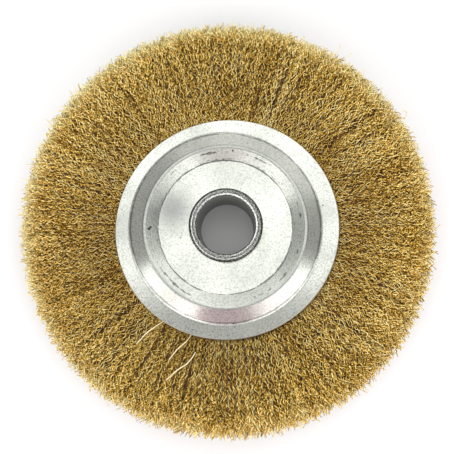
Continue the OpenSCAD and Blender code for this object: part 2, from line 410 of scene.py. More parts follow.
def zinc_plate(colours):
    """Bright zinc electroplate on cold-rolled steel sheet, pressed between dies.

    It gives the eye a pale metal with broad soft highlights, fine grey speckle where the
    plating is thin, broken dark lines of dirt and painted shade where the dies dragged it and in its creases, painted
    shade on the bead's crest and left of the hub, and a beige cut edge.
    """
    material, tree = new_material("Zinc-plated pressed steel")
    place, turn, off_axis = around_axis(tree)
    # Marks of the press follow the bead and the lip, which are a little off centre
    out = add(tree, "ShaderNodeAttribute", attribute_name="turned_radius").outputs["Fac"]
    height = add(tree, "ShaderNodeSeparateXYZ", [place]).outputs["Z"]
    # Cloudy patches of about 14 mm
    clouds = add(tree, "ShaderNodeTexNoise", {"Vector": place, "Scale": 1 / (14 * MM), "Detail": 3.0})
    cloudy = add(tree, "ShaderNodeMapRange", {"Value": clouds, "From Min": 0.38, "From Max": 0.68})
    base = add(
        tree,
        "ShaderNodeMix",
        {"Factor": cloudy, "A": colours.zinc_bright, "B": colours.zinc_dull},
        data_type="RGBA",
    )
    # Painted shade: one place to the left of the hub is darker, and fades out over 13 mm
    from_shaded_place = add(tree, "ShaderNodeVectorMath", [place, (-18.5 * MM, 5.5 * MM, 10.4 * MM)], operation="DISTANCE")
    reduction = add(
        tree,
        "ShaderNodeMapRange",
        {"Value": from_shaded_place.outputs["Value"], "From Min": 0.0, "From Max": 13 * MM, "To Min": 0.85, "To Max": 0.0},
        interpolation_type="SMOOTHSTEP",
    )
    with_painted_light = add(
        tree,
        "ShaderNodeMix",
        {"Factor": reduction, "A": base, "B": colours.zinc_speckle_and_shade},
        data_type="RGBA",
    )
    # Speckle of about 0.6 mm, drawn coarser than the real grain so that it shows
    grain = add(tree, "ShaderNodeTexNoise", {"Vector": place, "Scale": 1 / (0.6 * MM), "Detail": 2.0})
    speckle = add(
        tree,
        "ShaderNodeMapRange",
        {"Value": grain, "From Min": 0.44, "From Max": 0.76, "To Min": 0.0, "To Max": 0.55},
    )
    speckled = add(
        tree,
        "ShaderNodeMix",
        {"Factor": speckle, "A": with_painted_light, "B": colours.zinc_speckle_and_shade},
        data_type="RGBA",
    )
    # Painted shade dims the bead's crest
    off_crest = add(tree, MATH, [add(tree, MATH, [out, 27.75 * MM], operation="SUBTRACT")], operation="ABSOLUTE")
    crest = add(
        tree,
        "ShaderNodeMapRange",
        {"Value": off_crest, "From Min": 0.3 * MM, "From Max": 0.9 * MM, "To Min": 0.55, "To Max": 0.0},
    )
    crested = add(
        tree,
        "ShaderNodeMix",
        {"Factor": crest, "A": speckled, "B": colours.zinc_speckle_and_shade},
        data_type="RGBA",
    )
    # The shear left bare steel at the cut edge
    edge_start = plate_high.x - 0.45 * MM
    edge = add(
        tree,
        "ShaderNodeMapRange",
        {"Value": out, "From Min": edge_start, "From Max": edge_start + 0.25 * MM},
    )
    edged = add(
        tree,
        "ShaderNodeMix",
        {"Factor": edge, "A": crested, "B": colours.zinc_edge},
        data_type="RGBA",
    )
    # The dirt and painted shade lie in dashes 0.3 mm wide and a few mm long
    drag_place = add(
        tree,
        "ShaderNodeCombineXYZ",
        [
            add(tree, MATH, [out, 1 / (0.4 * MM)], operation="MULTIPLY"),
            add(tree, MATH, [turn, 12.0], operation="MULTIPLY"),
            height,
        ],
    )
    drags = add(tree, "ShaderNodeTexNoise", {"Vector": drag_place, "Scale": 1.0, "Detail": 3.0})
    # More of them show where the plating is cloudy
    clustered = add(tree, MATH, [clouds, 0.9, drags], operation="MULTIPLY_ADD")
    marks = 0.0
    for radius, half_width, shown, strength in DIRT_AND_CREASE_SHADE_RINGS:
        off = add(tree, MATH, [out, radius * MM], operation="SUBTRACT")
        away = add(tree, MATH, [off], operation="ABSOLUTE")
        near = add(
            tree,
            "ShaderNodeMapRange",
            {"Value": away, "From Min": 0.0, "From Max": half_width * MM, "To Min": shown, "To Max": -0.3},
        )
        over = add(tree, MATH, [clustered, near], operation="ADD")
        mark = add(
            tree,
            "ShaderNodeMapRange",
            {"Value": over, "From Min": 0.99, "From Max": 1.06, "To Min": 0.0, "To Max": strength},
        )
        marks = add(tree, MATH, [marks, mark], operation="MAXIMUM")
    front = add(tree, MATH, [height, 0.0], operation="GREATER_THAN")
    flat = add(tree, "ShaderNodeVectorMath", [place, (1, 1, 0)], operation="MULTIPLY")
    for x, y, radius in SPOTS:
        away = add(tree, "ShaderNodeVectorMath", [flat, (x * MM, y * MM, 0)], operation="DISTANCE")
        spot = add(
            tree,
            "ShaderNodeMapRange",
            {
                "Value": away.outputs["Value"],
                "From Min": radius * 0.6 * MM,
                "From Max": radius * 1.2 * MM,
                "To Min": 0.9,
                "To Max": 0.0,
            },
        )
        shown = add(tree, MATH, [spot, front], operation="MULTIPLY")
        marks = add(tree, MATH, [marks, shown], operation="MAXIMUM")
    marked = add(
        tree,
        "ShaderNodeMix",
        {"Factor": marks, "A": edged, "B": colours.grime_and_shade},
        data_type="RGBA",
    )
    rough = add(
        tree,
        "ShaderNodeMapRange",
        {"Value": clouds, "From Min": 0.3, "From Max": 0.7, "To Min": 0.18, "To Max": 0.3},
    )
    bump = add(tree, "ShaderNodeBump", {"Strength": 0.3, "Distance": 0.05 * MM, "Height": grain})
    surface = add(
        tree,
        "ShaderNodeBsdfPrincipled",
        {"Base Color": marked, "Metallic": 1.0, "Roughness": rough, "Normal": bump},
    )
    add(tree, "ShaderNodeOutputMaterial", [surface])
    return material


def rolled_steel(colours):
    """Seamless steel tube, cut off and rolled over at its ends, with scale left on it.

    It gives the eye a darker, mottled grey than the plating, coarse enough to see as grit,
    with thin bright lines of painted highlight on the two edges and painted shade at the rolled end's outer edge.
    """
    material, tree = new_material("Rolled end of a steel tube")
    place, turn, out = around_axis(tree)
    grain = add(tree, "ShaderNodeTexNoise", {"Vector": place, "Scale": 1 / (0.5 * MM), "Detail": 4.0})
    ramp = add(tree, "ShaderNodeValToRGB", [grain])
    stops = ramp.color_ramp.elements
    stops[0].color = colours.steel_dark
    stops[0].position = 0.42
    stops[1].color = colours.steel_light
    stops[1].position = 0.66
    # Painted highlight: a bright line 0.25 mm wide on the rolled end, most of it on the lower left
    off = add(tree, MATH, [out, 11.7 * MM], operation="SUBTRACT")
    away = add(tree, MATH, [off], operation="ABSOLUTE")
    line = add(
        tree,
        "ShaderNodeMapRange",
        {"Value": away, "From Min": 0.08 * MM, "From Max": 0.2 * MM, "To Min": 0.9, "To Max": 0.0},
    )
    aimed = add(tree, MATH, [turn, math.radians(225)], operation="SUBTRACT")
    lower_left = add(tree, MATH, [aimed], operation="COSINE")
    share = add(tree, MATH, [lower_left, 0.5, 0.5], operation="MULTIPLY_ADD")
    # And a painted highlight on the edge of the bore, 0.4 mm wide, most of it on the upper right
    off_mouth = add(tree, MATH, [add(tree, MATH, [out, 10.6 * MM], operation="SUBTRACT")], operation="ABSOLUTE")
    mouth = add(
        tree,
        "ShaderNodeMapRange",
        {"Value": off_mouth, "From Min": 0.15 * MM, "From Max": 0.32 * MM, "To Min": 1.0, "To Max": 0.0},
    )
    other = add(tree, MATH, [lower_left, -0.5, 0.6], operation="MULTIPLY_ADD")
    painted_highlight = add(
        tree,
        MATH,
        [
            add(tree, MATH, [line, share], operation="MULTIPLY"),
            add(tree, MATH, [mouth, other], operation="MULTIPLY"),
        ],
        operation="MAXIMUM",
    )
    broken = add(tree, "ShaderNodeMapRange", {"Value": grain, "From Min": 0.4, "From Max": 0.55, "To Min": 0.35})
    with_painted_light = add(
        tree,
        "ShaderNodeMix",
        {"Factor": add(tree, MATH, [painted_highlight, broken], operation="MULTIPLY"), "A": ramp, "B": colours.painted_steel_highlight},
        data_type="RGBA",
    )
    # Painted shade, in the grime colour, darkens the rolled end towards its outer edge and under its overhang
    corner = add(
        tree,
        "ShaderNodeMapRange",
        {"Value": out, "From Min": tube_high.x - 0.8 * MM, "From Max": tube_high.x - 0.2 * MM, "To Max": 0.85},
    )
    inside = add(
        tree,
        "ShaderNodeMapRange",
        {"Value": out, "From Min": 10.02 * MM, "From Max": 10.12 * MM, "To Min": 1.0, "To Max": 0.0},
    )
    edge_shaded = add(
        tree,
        "ShaderNodeMix",
        {"Factor": corner, "A": with_painted_light, "B": colours.grime_and_shade},
        data_type="RGBA",
    )
    # Dull scale still lies on the wall of the bore
    scale = add(tree, "ShaderNodeMix", {"Factor": grain, "A": colours.steel_dark, "B": colours.scale}, data_type="RGBA")
    scaled = add(tree, "ShaderNodeMix", {"Factor": inside, "A": edge_shaded, "B": scale}, data_type="RGBA")
    metal = add(tree, MATH, [inside, -0.85, 1.0], operation="MULTIPLY_ADD")
    bump = add(tree, "ShaderNodeBump", {"Strength": 0.8, "Distance": 0.12 * MM, "Height": grain})
    surface = add(
        tree,
        "ShaderNodeBsdfPrincipled",
        {"Base Color": scaled, "Metallic": metal, "Roughness": 0.36, "Normal": bump},
    )
    add(tree, "ShaderNodeOutputMaterial", [surface])
    return material


def drawn_steel(name, light, dark):
    """Bare drawn steel wire: an even metal with fine draw lines along it."""
    material, tree = new_material(name)
    place = add(tree, "ShaderNodeTexCoord").outputs["Object"]
    lines = add(tree, "ShaderNodeTexNoise", {"Vector": place, "Scale": 1 / (0.6 * MM), "Detail": 2.0})
    shade = add(
        tree,
        "ShaderNodeMix",
        {"Factor": lines, "A": light, "B": dark},
        data_type="RGBA",
    )
    surface = add(
        tree,
        "ShaderNodeBsdfPrincipled",
        {"Base Color": shade, "Metallic": 1.0, "Roughness": 0.4},
    )
    add(tree, "ShaderNodeOutputMaterial", [surface])
    return material


def white_paper(colours, glow_level, bore_radius):
    """Matt white paper, with part of its white kept in the shadows, but not down in the bore."""
    material, tree = new_material("White paper")
    place, turn, out = around_axis(tree)
    outside = add(tree, MATH, [out, bore_radius + 1 * MM], operation="GREATER_THAN")
    rays = add(tree, "ShaderNodeLightPath").outputs
    seen = add(tree, MATH, [rays["Is Camera Ray"], rays["Is Glossy Ray"]], operation="MAXIMUM")
    shown = add(tree, MATH, [seen, rays["Is Transmission Ray"]], operation="MAXIMUM")
    lit = add(tree, MATH, [shown, outside], operation="MULTIPLY")
    # The far paper is as white as the near one, though the lamps are close to the wheel
    level = add(
        tree,
        "ShaderNodeMapRange",
        {"Value": out, "From Min": 0.12, "From Max": 0.6, "To Min": glow_level, "To Max": 0.7},
    )
    strength = add(tree, MATH, [lit, level], operation="MULTIPLY")
    glow = add(tree, "ShaderNodeEmission", {"Color": colours.paper, "Strength": strength})
    sheet = add(tree, "ShaderNodeBsdfDiffuse", {"Color": colours.paper})
    both = add(tree, "ShaderNodeAddShader", [sheet, glow])
    add(tree, "ShaderNodeOutputMaterial", [both])
    return material


# Turned shapes


def rounded(corners, bends, steps=8, ease=0.2 * MM):
    """The line through the corners with each inner one rounded, as (point, normal) pairs.

    A point a little way off each bend keeps the flats flat under smooth shading.
    """
    points = [Vector(corner) for corner in corners]
    lines = [(b - a).normalized() for a, b in zip(points, points[1:])]
    pairs = [(points[0], Vector((-lines[0].y, lines[0].x)))]
    for here, before, after, radius in zip(points[1:], lines, lines[1:], bends):
        turn = math.atan2(before.x * after.y - before.y * after.x, before.dot(after))
        side = math.copysign(1.0, turn)
        start = here - before * radius * math.tan(abs(turn) / 2)
        left = Vector((-before.y, before.x))
        centre = start + side * radius * left
        pairs.append((start - before * ease, left))
        for k in range(steps + 1):
            angle = turn * k / steps
            normal = Vector((
                left.x * math.cos(angle) - left.y * math.sin(angle),
                left.x * math.sin(angle) + left.y * math.cos(angle),
            ))
            pairs.append((centre - side * radius * normal, normal))
        end, normal = pairs[-1]
        pairs.append((end + after * ease, normal))
    pairs.append((points[-1], Vector((-lines[-1].y, lines[-1].x))))
    return pairs


def arc(centre, radius, start, sweep, steps=10):
    """Points of an arc about (radius, height), from an angle and over a sweep in degrees."""
    angles = [math.radians(start + sweep * k / steps) for k in range(steps + 1)]
    return [Vector((centre[0] + radius * math.cos(a), centre[1] + radius * math.sin(a))) for a in angles]


def lathe(name, outline, steps, side=1):
    """The closed outline of (radius, height) points turned about Z; side -1 mirrors it below."""
    outline = np.array([(point[0], point[1] * side) for point in outline])
    turns = np.linspace(0, math.tau, steps, endpoint=False)
    rows = len(outline)
    vertices = np.stack(
        [
            np.outer(np.cos(turns), outline[:, 0]),
            np.outer(np.sin(turns), outline[:, 0]),
            np.tile(outline[:, 1], (steps, 1)),
        ],
        axis=-1,
    ).reshape(-1, 3)
    step, row = np.meshgrid(np.arange(steps), np.arange(rows), indexing="ij")
    after, above = (step + 1) % steps, (row + 1) % rows
    faces = np.stack(
        [step * rows + row, after * rows + row, after * rows + above, step * rows + above], axis=-1
    ).reshape(-1, 4)
    area = np.sum(outline[:, 0] * np.roll(outline[:, 1], -1) - np.roll(outline[:, 0], -1) * outline[:, 1])
    if area < 0:
        faces = faces[:, ::-1]
    mesh = bpy.data.meshes.new(name)
    mesh.from_pydata(vertices.tolist(), [], faces.tolist())
    mesh.shade_smooth()
    return mesh


def plate_outline(sizes):
    """Section of a pressed plate: the outer face, the cut edge and the inner face back."""
    flat, edge_round, ease = sizes.flat_height, 0.25 * MM, 0.2 * MM
    lip_start = flat - sizes.lip_drop
    corners = [
        (sizes.hole_radius, flat),
        (sizes.foot_radius, flat),
        (sizes.crest_radius, flat + sizes.bead_height),
        (sizes.lip_radius, lip_start),
        (sizes.edge_radius, lip_start - sizes.lip_fall),
    ]
    bends = (0.9 * MM, sizes.sheet + 0.3 * MM, 3.2 * MM)
    pairs = rounded(corners, bends)
    edge, up = pairs[-1]
    along = Vector((up.y, -up.x))
    # The shear rounds the outer edge over and leaves the inner one square
    middle = edge - edge_round * along - edge_round * up
    corner = [middle + edge_round * (up * math.cos(a) + along * math.sin(a)) for a in (0, 0.4, 0.8, 1.2, 1.57)]
    outer = [point for point, normal in pairs[:-1]] + [middle + edge_round * up - ease * along] + corner
    outer.insert(1, outer[0] + Vector((ease, 0)))
    inner = [point - sizes.sheet * normal for point, normal in reversed(rounded(corners, bends, 3))]
    end = edge - up * sizes.sheet
    square = [end + up * ease, end + up * 0.03 * MM, end - along * 0.03 * MM, end - along * ease]
    foot = inner.pop()
    hole = [foot + Vector((ease, 0)), foot, foot + Vector((0, ease)), outer[0] - Vector((0, ease))]
    return outer + square + inner[1:] + hole


def hub_outline(sizes):
    """Section of the tube with both of its rolled ends."""
    bore, roll, end = sizes.bore_radius, sizes.roll_radius, sizes.end_height
    seat = end - sizes.roll_height
    half = (
        arc((bore + sizes.mouth, end - sizes.mouth), sizes.mouth, 180, -90)
        + arc((roll - sizes.roll_top, end - sizes.roll_top), sizes.roll_top, 90, -90)
        + arc((roll - sizes.roll_under, seat + sizes.roll_under), sizes.roll_under, 0, -90)
        + [Vector((sizes.tube_radius, seat))]
    )
    return half + [Vector((point.x, -point.y)) for point in reversed(half)]


def out_of_true(mesh, sizes):
    """Bends a turned sheet in a few long waves round the wheel, and makes its lip uneven."""
    places = np.empty(len(mesh.vertices) * 3)
    mesh.vertices.foreach_get("co", places)
    places = places.reshape(-1, 3)
    turns = np.arctan2(places[:, 1], places[:, 0])
    radii = np.hypot(places[:, 0], places[:, 1])
    waves = np.sin(3 * turns + 1.0) + 0.7 * np.sin(5 * turns + 2.6) + 0.5 * np.sin(8 * turns + 0.4)
    places[:, 2] += sizes.waviness * waves * (radii / sizes.edge_radius) ** 2
    wider = (
        sizes.lip_offset * np.cos(turns - sizes.lip_offset_angle)
        + sizes.lip_oval * np.cos(2 * (turns - sizes.lip_oval_angle))
        - sizes.lip_short
    )
    on_lip = np.clip((radii - sizes.lip_radius) / (sizes.edge_radius - sizes.lip_radius), 0, 1)
    places[:, :2] *= (1 + on_lip * wider / radii)[:, None]
    past_hole = np.clip((radii - sizes.hole_radius) / (sizes.foot_radius - sizes.hole_radius), 0, 1)
    places[:, 0] += past_hole * sizes.press_offset * math.cos(sizes.press_offset_angle)
    places[:, 1] += past_hole * sizes.press_offset * math.sin(sizes.press_offset_angle)
    mesh.vertices.foreach_set("co", places.ravel())
    # The radius that each point was turned at, for the finish
    turned = mesh.attributes.new("turned_radius", "FLOAT", "POINT")
    turned.data.foreach_set("value", radii)
    mesh.update()


def core_outline(sizes):
    """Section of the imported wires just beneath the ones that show, both ways from the middle."""
    half = []
    for share in np.linspace(0.0, 1.0, 9):
        radius = sizes.flange_radius - 1.5 * MM + share * (sizes.widest_radius - sizes.flange_radius - 1 * MM)
        rise = sizes.flange_height + share * (sizes.face_height - sizes.flange_height)
        half.append(Vector((radius, 0.86 * rise)))
    inset = 4.6 * MM
    for level in np.linspace(0.8, 0.0, 7):
        radius = sizes.wheel_radius - sizes.crown * level**2 - inset
        half.append(Vector((radius, level * 0.86 * sizes.face_height)))
    return half + [Vector((point.x, -point.y)) for point in reversed(half[:-1])]


# Wires

# Direction, from +X, in which the wires stand out least
SHORT_SIDE = math.radians(244)

# Directions in which the wires have parted, from +X
PARTINGS = [math.radians(angle) for angle in (38, 69, 220, 239, 256)]
PARTING_SPREAD = math.radians(3.2)

# Inputs of the wires' node tree and the kind of each
WIRE_INPUTS = {
    "Wires": "Int",
    "Bends": "Int",
    "Seed": "Int",
    "First radius": "Float",
    "First spread": "Float",
    "Low level": "Float",
    "High level": "Float",
    "Rise": "Float",
    "Wheel radius": "Float",
    "Crown": "Float",
    "Face height": "Float",
    "Widest radius": "Float",
    "Flange radius": "Float",
    "Flange height": "Float",
    "Wire diameter": "Float",
    "Crimp height": "Float",
    "Crimp step": "Float",
    "Tip scatter": "Float",
    "Run-out": "Float",
    "Parting width": "Float",
    "Finish": "Material",
}


def wire_tree():
    """The node tree that lays wires from the plates to the rim, crimps them and makes them solid."""
    tree = bpy.data.node_groups.new("Crimped wires", "GeometryNodeTree")
    for name, kind in WIRE_INPUTS.items():
        tree.interface.new_socket(name, in_out="INPUT", socket_type="NodeSocket" + kind)
    tree.interface.new_socket("Wires", in_out="OUTPUT", socket_type="NodeSocketGeometry")
    size = add(tree, "NodeGroupInput").outputs

    # One straight line a wire
    line = add(tree, "GeometryNodeCurvePrimitiveLine")
    many = add(
        tree, "GeometryNodeDuplicateElements", {"Geometry": line, "Amount": size["Wires"]}, domain="SPLINE"
    )
    numbered = add(
        tree,
        "GeometryNodeStoreNamedAttribute",
        {"Geometry": many, "Name": "wire", "Value": many.outputs["Duplicate Index"]},
        data_type="INT",
        domain="CURVE",
    )
    wire = add(tree, "GeometryNodeInputNamedAttribute", {"Name": "wire"}, data_type="INT")
    along = add(tree, "GeometryNodeSplineParameter").outputs
    identity = add(tree, MATH, [size["Seed"], 10000, wire], operation="MULTIPLY_ADD")
    chance = {
        use: add(tree, "FunctionNodeRandomValue", {"ID": identity, "Seed": seed}, data_type="FLOAT")
        for seed, use in enumerate(("place", "start", "level", "tip", "lean", "flip", "crimp", "tone", "step"))
    }
    # A point at each bend of its crimp, whose length differs from wire to wire
    finer = add(tree, MATH, [chance["step"], 0.36, 0.82], operation="MULTIPLY_ADD")
    bends = add(tree, MATH, [finer, size["Bends"]], operation="MULTIPLY")
    bent = add(tree, "GeometryNodeResampleCurve", {"Curve": numbered, "Count": bends})

    # Direction, level between the faces, and where the wire starts and ends
    share = add(tree, MATH, [wire, chance["place"]], operation="ADD")
    turns = add(tree, MATH, [share, size["Wires"]], operation="DIVIDE")
    turn = add(tree, MATH, [turns, math.tau], operation="MULTIPLY")
    level = add(
        tree,
        "ShaderNodeMapRange",
        {"Value": chance["level"], "To Min": size["Low level"], "To Max": size["High level"]},
    )
    squared = add(tree, MATH, [level, level], operation="MULTIPLY")
    crowned = add(tree, MATH, [squared, size["Crown"]], operation="MULTIPLY")
    longest = add(tree, MATH, [size["Wheel radius"], crowned], operation="SUBTRACT")
    few = add(tree, MATH, [chance["tip"], 0.5], operation="POWER")
    reduction = add(tree, MATH, [few, size["Tip scatter"]], operation="MULTIPLY")
    aside = add(tree, MATH, [turn, SHORT_SIDE], operation="SUBTRACT")
    leaning = add(tree, MATH, [add(tree, MATH, [aside], operation="COSINE"), 0.5], operation="MULTIPLY")
    shorter = add(tree, MATH, [leaning, size["Run-out"], reduction], operation="MULTIPLY_ADD")
    tip = add(tree, MATH, [longest, shorter], operation="SUBTRACT")
    stub = add(tree, MATH, [tip, 4.5 * MM], operation="SUBTRACT")
    wanted = add(
        tree, MATH, [chance["start"], size["First spread"], size["First radius"]], operation="MULTIPLY_ADD"
    )
    first = add(tree, MATH, [wanted, stub], operation="MINIMUM")
    even = add(
        tree, "ShaderNodeMapRange", {"Value": along["Factor"], "To Min": first, "To Max": tip}, clamp=False
    )

    # Each wire has its own slow changes: along, up and sideways
    path = add(
        tree,
        "ShaderNodeCombineXYZ",
        [
            add(tree, MATH, [wire, 7.31], operation="MULTIPLY"),
            add(tree, MATH, [even, 1 / (9 * MM)], operation="MULTIPLY"),
            size["Seed"],
        ],
    )
    changes = add(tree, "ShaderNodeTexNoise", {"Vector": path, "Scale": 1.0, "Detail": 0.0}).outputs["Color"]
    slow = add(tree, "ShaderNodeSeparateXYZ", [changes]).outputs
    ahead = add(tree, MATH, [slow["X"], 1.2, -0.6], operation="MULTIPLY_ADD")
    radius = add(tree, MATH, [ahead, size["Crimp step"], even], operation="MULTIPLY_ADD")

    # The brush widens from the plates, and wires that start further out rise from beneath
    half_width = add(
        tree,
        "ShaderNodeMapRange",
        {
            "Value": radius,
            "From Min": size["Flange radius"],
            "From Max": size["Widest radius"],
            "To Min": size["Flange height"],
            "To Max": size["Face height"],
        },
    )
    risen = add(
        tree,
        "ShaderNodeMapRange",
        {"Value": along["Factor"], "From Min": 0.0, "From Max": 0.25, "To Min": size["Rise"], "To Max": 1.0},
        interpolation_type="SMOOTHSTEP",
    )
    levelled = add(tree, MATH, [half_width, level], operation="MULTIPLY")
    # It dives beneath its neighbours and comes up again, by up to a tenth of its height
    dive = add(tree, MATH, [slow["Y"], -0.12, 1.02], operation="MULTIPLY_ADD")
    diving = add(tree, MATH, [levelled, dive], operation="MULTIPLY")
    height = add(tree, MATH, [diving, risen], operation="MULTIPLY")

    # The crimp goes to one side at each odd point and to the other at each even one
    odd = add(tree, MATH, [along["Index"], 2.0], operation="MODULO")
    side = add(tree, MATH, [odd, 2.0, -1.0], operation="MULTIPLY_ADD")
    strength = add(tree, MATH, [chance["crimp"], 0.7, 0.65], operation="MULTIPLY_ADD")
    crimp = add(tree, MATH, [side, size["Crimp height"]], operation="MULTIPLY")
    swing = add(tree, MATH, [crimp, strength], operation="MULTIPLY")
    over = add(tree, MATH, [chance["flip"], 0.5], operation="GREATER_THAN")
    half_turn = add(tree, MATH, [over, math.pi], operation="MULTIPLY")
    lean = add(tree, MATH, [add(tree, MATH, [chance["lean"], 0.5], operation="SUBTRACT"), 2.5, half_turn],
               operation="MULTIPLY_ADD")
    sideways = add(tree, MATH, [swing, add(tree, MATH, [lean], operation="COSINE")], operation="MULTIPLY")
    upward = add(tree, MATH, [swing, add(tree, MATH, [lean], operation="SINE")], operation="MULTIPLY")
    clear = add(tree, "ShaderNodeMapRange", {"Value": along["Factor"], "From Max": 0.15})
    lifted = add(tree, MATH, [upward, clear, height], operation="MULTIPLY_ADD")

    # It wanders off its line, more towards its tip
    off = add(tree, MATH, [slow["Z"], 0.5], operation="SUBTRACT")
    wide = add(tree, MATH, [off, 5.0 * MM], operation="MULTIPLY")
    wander = add(tree, MATH, [wide, along["Factor"], sideways], operation="MULTIPLY_ADD")

    # Partings push the wires on their two sides apart, most at half of the way out
    hump = add(tree, MATH, [add(tree, MATH, [along["Factor"], math.pi], operation="MULTIPLY")], operation="SINE")
    push = add(tree, MATH, [hump, size["Parting width"]], operation="MULTIPLY")
    for angle in PARTINGS:
        past = add(tree, MATH, [turn, angle], operation="SUBTRACT")
        near = add(tree, MATH, [past, math.pi, -math.pi], operation="WRAP")
        away = add(tree, MATH, [near], operation="ABSOLUTE")
        ease = add(
            tree,
            "ShaderNodeMapRange",
            {"Value": away, "From Min": 0.0, "From Max": PARTING_SPREAD, "To Min": 1.0, "To Max": 0.0},
            interpolation_type="SMOOTHSTEP",
        )
        signed = add(tree, MATH, [ease, add(tree, MATH, [near], operation="SIGN")], operation="MULTIPLY")
        wander = add(tree, MATH, [signed, push, wander], operation="MULTIPLY_ADD")

    # How deep beneath the surface of the brush each point lies, less so behind the tips
    beneath_face = add(tree, MATH, [half_width, add(tree, MATH, [lifted], operation="ABSOLUTE")], operation="SUBTRACT")
    full = add(tree, MATH, [longest, add(tree, MATH, [leaning, size["Run-out"]], operation="MULTIPLY")],
               operation="SUBTRACT")
    behind_tip = add(tree, MATH, [add(tree, MATH, [full, radius], operation="SUBTRACT"), 0.2], operation="MULTIPLY")
    depth = add(tree, MATH, [beneath_face, behind_tip], operation="MINIMUM")

    place = add(tree, "ShaderNodeCombineXYZ", [radius, wander, lifted])
    turned = add(tree, "ShaderNodeVectorRotate", {"Vector": place, "Angle": turn}, rotation_type="Z_AXIS")
    placed = add(tree, "GeometryNodeSetPosition", {"Geometry": bent, "Position": turned})
    toned = add(
        tree,
        "GeometryNodeStoreNamedAttribute",
        {"Geometry": placed, "Name": "tone", "Value": chance["tone"]},
        data_type="FLOAT",
        domain="POINT",
    )
    deep = add(
        tree,
        "GeometryNodeStoreNamedAttribute",
        {"Geometry": toned, "Name": "depth", "Value": depth},
        data_type="FLOAT",
        domain="POINT",
    )
    thick = add(tree, MATH, [size["Wire diameter"], 0.5], operation="MULTIPLY")
    section = add(tree, "GeometryNodeCurvePrimitiveCircle", {"Resolution": 3, "Radius": thick})
    solid = add(
        tree, "GeometryNodeCurveToMesh", {"Curve": deep, "Profile Curve": section, "Fill Caps": True}
    )
    smooth = add(tree, "GeometryNodeSetShadeSmooth", {"Geometry": solid})
    real = add(tree, "GeometryNodeRealizeInstances", {"Geometry": smooth})
    finished = add(tree, "GeometryNodeSetMaterial", {"Geometry": real, "Material": size["Finish"]})
    add(tree, "NodeGroupOutput", [finished])
    return tree


def grow(name, tree, values):
    """The mesh that a node tree makes from its named inputs, as a plain piece."""
    piece = new_piece(name, bpy.data.meshes.new(name))
    modifier = piece.modifiers.new("Layout", "NODES")
    modifier.node_group = tree
    for item in tree.interface.items_tree:
        if item.in_out == "INPUT":
            modifier[item.identifier] = values[item.name]
    evaluated = piece.evaluated_get(bpy.context.evaluated_depsgraph_get())
    mesh = bpy.data.meshes.new_from_object(evaluated)
    piece.modifiers.remove(modifier)
    piece.data = mesh
    if not mesh.polygons:
        raise RuntimeError(f"{name} came out empty")
    return piece


# Groups of wires: how many, points on each, first radius and its spread in mm, the levels
# between -1, the rear face, and 1, the front face, and how much of its height a start has
WIRE_GROUPS = {
    "front_wires": (1850, 17, 34.5, 3.8, 0.86, 1.0, 1.0),
    "front_middle_wires": (1000, 12, 45.0, 4.0, 0.88, 1.0, 0.86),
    "front_outer_wires": (1400, 7, 55.5, 4.0, 0.88, 1.0, 0.88),
    "front_rim_wires": (10500, 4, 67.0, 2.5, 0.0, 0.92, 0.98),
    "rear_rim_wires": (8500, 4, 67.0, 2.5, -0.92, 0.0, 0.98),
    "rear_wires": (1500, 17, 34.5, 3.8, -1.0, -0.86, 1.0),
    "rear_middle_wires": (800, 12, 45.0, 4.0, -1.0, -0.88, 0.86),
    "rear_outer_wires": (1100, 7, 55.5, 4.0, -1.0, -0.88, 0.88),
}

# Wires that have come loose: for each the places that it passes, in mm
LOOSE_WIRES = [
    [(-20.6, -32.3, 7.6), (-23.0, -33.8, 9.8), (-26.8, -36.4, 11.4), (-28.6, -38.6, 11.6), (-30.1, -40.1, 11.6)],
    [(-11.6, -36.8, 7.6), (-12.8, -39.2, 9.8), (-15.6, -41.2, 11.0), (-17.6, -43.4, 11.3), (-19.0, -45.3, 11.3)],
    [(-10.3, -43.2, 9.6), (-12.2, -46.4, 11.2), (-15.8, -48.4, 11.9), (-18.4, -50.6, 12.1), (-19.9, -52.0, 12.0)],
    [(37.5, 60.0, 6.0), (39.3, 63.4, 5.0), (41.6, 64.6, 4.0), (41.7, 67.0, 3.6)],
    [(42.0, 57.5, 6.0), (43.6, 60.4, 5.2), (43.9, 62.2, 4.0), (45.4, 63.4, 3.6)],
    [(46.5, 52.5, 6.0), (48.0, 55.2, 5.0), (50.1, 56.9, 4.4)],
    [(60.0, 37.0, 6.5), (62.6, 38.6, 5.6), (64.9, 39.7, 5.0), (64.6, 42.0, 4.6), (62.9, 41.8, 4.4)],
    [(-61.5, 36.5, 6.0), (-63.9, 37.6, 4.6), (-65.6, 39.5, 3.8)],
    [(-53.2, 46.4, 6.0), (-55.6, 47.6, 4.6), (-57.2, 50.0, 3.8)],
]


def finishes(colours):
    """The finishes by slot, made once and found again by name."""
    if not made_finishes:
        made_finishes.update(
            brassed_wire=brassed_wire(colours),
            shaded_wire=shaded_wires(colours),
            loose_wire=drawn_steel("Loose wire worn bare", colours.loose_wire, colours.brass_pale),
            zinc_plate=zinc_plate(colours),
            hub_steel=rolled_steel(colours),
            ring_steel=drawn_steel("Bare drawn steel", colours.ring_steel, colours.steel_dark),
        )
    return made_finishes


made_finishes = {}


